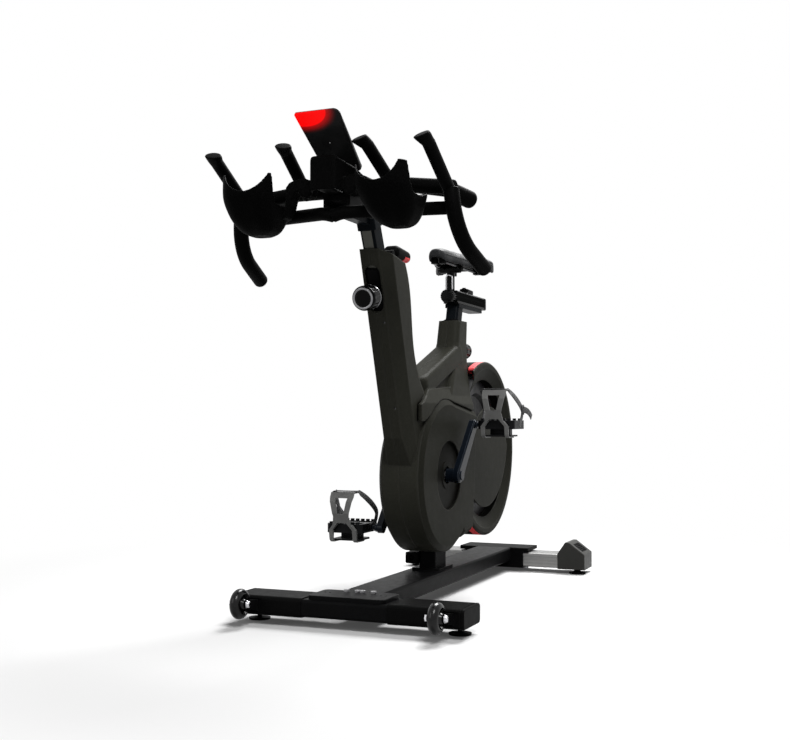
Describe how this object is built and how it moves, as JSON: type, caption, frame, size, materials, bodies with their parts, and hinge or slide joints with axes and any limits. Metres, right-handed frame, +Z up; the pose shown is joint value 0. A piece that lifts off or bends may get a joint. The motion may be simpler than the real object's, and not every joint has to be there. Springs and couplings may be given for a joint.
{
  "type": "exercise bike",
  "caption": "Indoor training cycle: leaning upright with drop handlebar, bottle cups and console, enclosed belt drive to a rear flywheel, adjustable saddle, toe-cage pedals.",
  "frame": {"origin": "on the floor, at the middle of the machine's overall length and width", "axes": "+Z up, the rider faces -Y, +X on the rider's left"},
  "size_m": [0.5812, 1.3039, 1.0822],
  "materials": {
    "black_paint": "satin powder coat",
    "shell_plastic": "fine grained satin moulding",
    "black_plastic": "matt moulding",
    "black_rubber": "matt",
    "grip_rubber": "soft matt",
    "steel": "turned",
    "chrome": "bright",
    "cast_iron": "black enamel",
    "aluminium_black": "anodised",
    "aluminium_grey": "anodised, ribbed",
    "crank_black": "satin forging",
    "cage_grey": "satin",
    "red": "satin red",
    "gloss_black": "gloss",
    "strip_grey": "brushed, dark",
    "saddle_cover": "smooth synthetic leather",
    "strap_web": "woven"
  },
  "bodies": {
    "frame": {"base_frame": "black_paint", "base_bolts": "steel", "front_foot": "black_paint", "front_foot_caps": "black_plastic", "rear_foot": "aluminium_grey", "rear_joint_sleeve": "black_plastic", "rear_foot_caps": "black_plastic", "rear_foot_grips": "black_rubber", "wheel_forks": "black_paint", "wheel_bolts": "chrome", "socket_box": "black_paint", "main_frame": "black_paint", "guide_bushes": "black_plastic", "body_shell_left": "shell_plastic", "body_shell_right": "shell_plastic", "side_cover_left": "shell_plastic", "side_cover_right": "shell_plastic", "crank_discs": "black_plastic", "flywheel_band": "black_plastic", "flywheel_stripes": "red", "shaft_bearings": "steel", "drive_belts": "black_rubber"},
    "crank": {"crank_spindle": "steel", "crank_pulley": "black_plastic", "crank_arms": "crank_black"},
    "jackshaft": {"jackshaft": "steel"},
    "flywheel": {"flywheel": "cast_iron", "flywheel_axle": "steel"},
    "brake_carrier": {"brake_carrier": "steel"},
    "resistance_lever": {"resistance_lever": "black_plastic", "lever_insert": "red"},
    "pedal_left": {"pedal_left": "black_plastic", "toe_cage_left": "cage_grey", "toe_strap_left": "strap_web"},
    "pedal_right": {"pedal_right": "black_plastic", "toe_cage_right": "cage_grey", "toe_strap_right": "strap_web"},
    "transport_wheel_left": {"transport_wheel_left": "black_rubber"},
    "transport_wheel_right": {"transport_wheel_right": "black_rubber"},
    "handlebar_post": {"handlebar_post": "black_paint", "scale_strip": "strip_grey"},
    "handlebar": {"slide_block": "black_paint", "handlebar_frame": "black_paint", "handlebar_grips": "grip_rubber", "cup_tray": "black_plastic", "console": "gloss_black"},
    "handlebar_knob": {"handlebar_knob": "gloss_black"},
    "seat_post": {"seat_post": "black_paint"},
    "seat_knob": {"seat_knob": "gloss_black"},
    "seat_slider": {"seat_slider": "aluminium_black"},
    "slider_lever": {"slider_lever": "black_plastic"},
    "saddle": {"saddle_clamp": "aluminium_black", "saddle_rails": "steel", "saddle_base": "black_plastic", "saddle_pad": "saddle_cover"},
    "levelling_foot_front_left": {"levelling_foot_front_left": "black_plastic"},
    "levelling_foot_front_right": {"levelling_foot_front_right": "black_plastic"},
    "levelling_foot_rear_left": {"levelling_foot_rear_left": "black_plastic"},
    "levelling_foot_rear_right": {"levelling_foot_rear_right": "black_plastic"}
  },
  "joints": [
    {"name": "crank_spin", "type": "hinge", "parent": "frame", "child": "crank", "pos_m": [0, 0.025, 0.305], "axis": [1, 0, 0], "continuous": true},
    {"name": "jackshaft_spin", "type": "hinge", "parent": "frame", "child": "jackshaft", "pos_m": [0, 0.155, 0.29], "axis": [1, 0, 0], "continuous": true},
    {"name": "flywheel_spin", "type": "hinge", "parent": "frame", "child": "flywheel", "pos_m": [0, 0.35, 0.364], "axis": [1, 0, 0], "continuous": true},
    {"name": "brake_swing", "type": "hinge", "parent": "frame", "child": "brake_carrier", "pos_m": [0, 0.205, 0.515], "axis": [1, 0, 0], "range_deg": [-4, 1]},
    {"name": "resistance_turn", "type": "hinge", "parent": "frame", "child": "resistance_lever", "pos_m": [0, -0.236, 0.828], "axis": [1, 0, 0], "range_deg": [-8, 50]},
    {"name": "pedal_left_spin", "type": "hinge", "parent": "crank", "child": "pedal_left", "pos_m": [0.156, 0.13985, 0.43034], "axis": [1, 0, 0], "continuous": true},
    {"name": "pedal_right_spin", "type": "hinge", "parent": "crank", "child": "pedal_right", "pos_m": [-0.156, -0.08985, 0.17966], "axis": [1, 0, 0], "continuous": true},
    {"name": "transport_wheel_left_spin", "type": "hinge", "parent": "frame", "child": "transport_wheel_left", "pos_m": [0.225, -0.512, 0.05], "axis": [1, 0, 0], "continuous": true},
    {"name": "transport_wheel_right_spin", "type": "hinge", "parent": "frame", "child": "transport_wheel_right", "pos_m": [-0.225, -0.512, 0.05], "axis": [1, 0, 0], "continuous": true},
    {"name": "handlebar_height", "type": "slide", "parent": "frame", "child": "handlebar_post", "axis": [0, -0.4147, 0.91], "range_m": [-0.02, 0.14]},
    {"name": "handlebar_fore_aft", "type": "slide", "parent": "handlebar_post", "child": "handlebar", "axis": [0, 1, 0], "range_m": [-0.03, 0.03]},
    {"name": "handlebar_knob_pull", "type": "slide", "parent": "frame", "child": "handlebar_knob", "axis": [0, -0.982, -0.1891], "range_m": [0, 0.01], "stiffness_N_per_m": 800},
    {"name": "seat_height", "type": "slide", "parent": "frame", "child": "seat_post", "axis": [0, 0.2756, 0.9613], "range_m": [-0.025, 0.17]},
    {"name": "seat_knob_pull", "type": "slide", "parent": "frame", "child": "seat_knob", "axis": [0, 1, 0], "range_m": [0, 0.01], "stiffness_N_per_m": 800},
    {"name": "seat_fore_aft", "type": "slide", "parent": "seat_post", "child": "seat_slider", "axis": [0, 1, 0], "range_m": [-0.045, 0.035]},
    {"name": "slider_lever_turn", "type": "hinge", "parent": "seat_slider", "child": "slider_lever", "pos_m": [0, 0.3, 0.797], "axis": [0, 0, 1], "range_deg": [-60, 60]},
    {"name": "saddle_tilt", "type": "hinge", "parent": "seat_slider", "child": "saddle", "pos_m": [0, 0.193, 0.845], "axis": [1, 0, 0], "range_deg": [-10, 10]},
    {"name": "levelling_foot_front_left_turn", "type": "hinge", "parent": "frame", "child": "levelling_foot_front_left", "pos_m": [0.237, -0.405, 0], "axis": [0, 0, 1], "continuous": true},
    {"name": "levelling_foot_front_right_turn", "type": "hinge", "parent": "frame", "child": "levelling_foot_front_right", "pos_m": [-0.237, -0.405, 0], "axis": [0, 0, 1], "continuous": true},
    {"name": "levelling_foot_rear_left_turn", "type": "hinge", "parent": "frame", "child": "levelling_foot_rear_left", "pos_m": [0.243, 0.583, 0], "axis": [0, 0, 1], "continuous": true},
    {"name": "levelling_foot_rear_right_turn", "type": "hinge", "parent": "frame", "child": "levelling_foot_rear_right", "pos_m": [-0.243, 0.583, 0], "axis": [0, 0, 1], "continuous": true}
  ],
  "couplings": [
    {"joint": "jackshaft_spin", "follows": "crank_spin", "ratio": 3.8333},
    {"joint": "flywheel_spin", "follows": "crank_spin", "ratio": 9.9028},
    {"joint": "brake_swing", "follows": "resistance_turn", "ratio": -0.08}
  ]
}
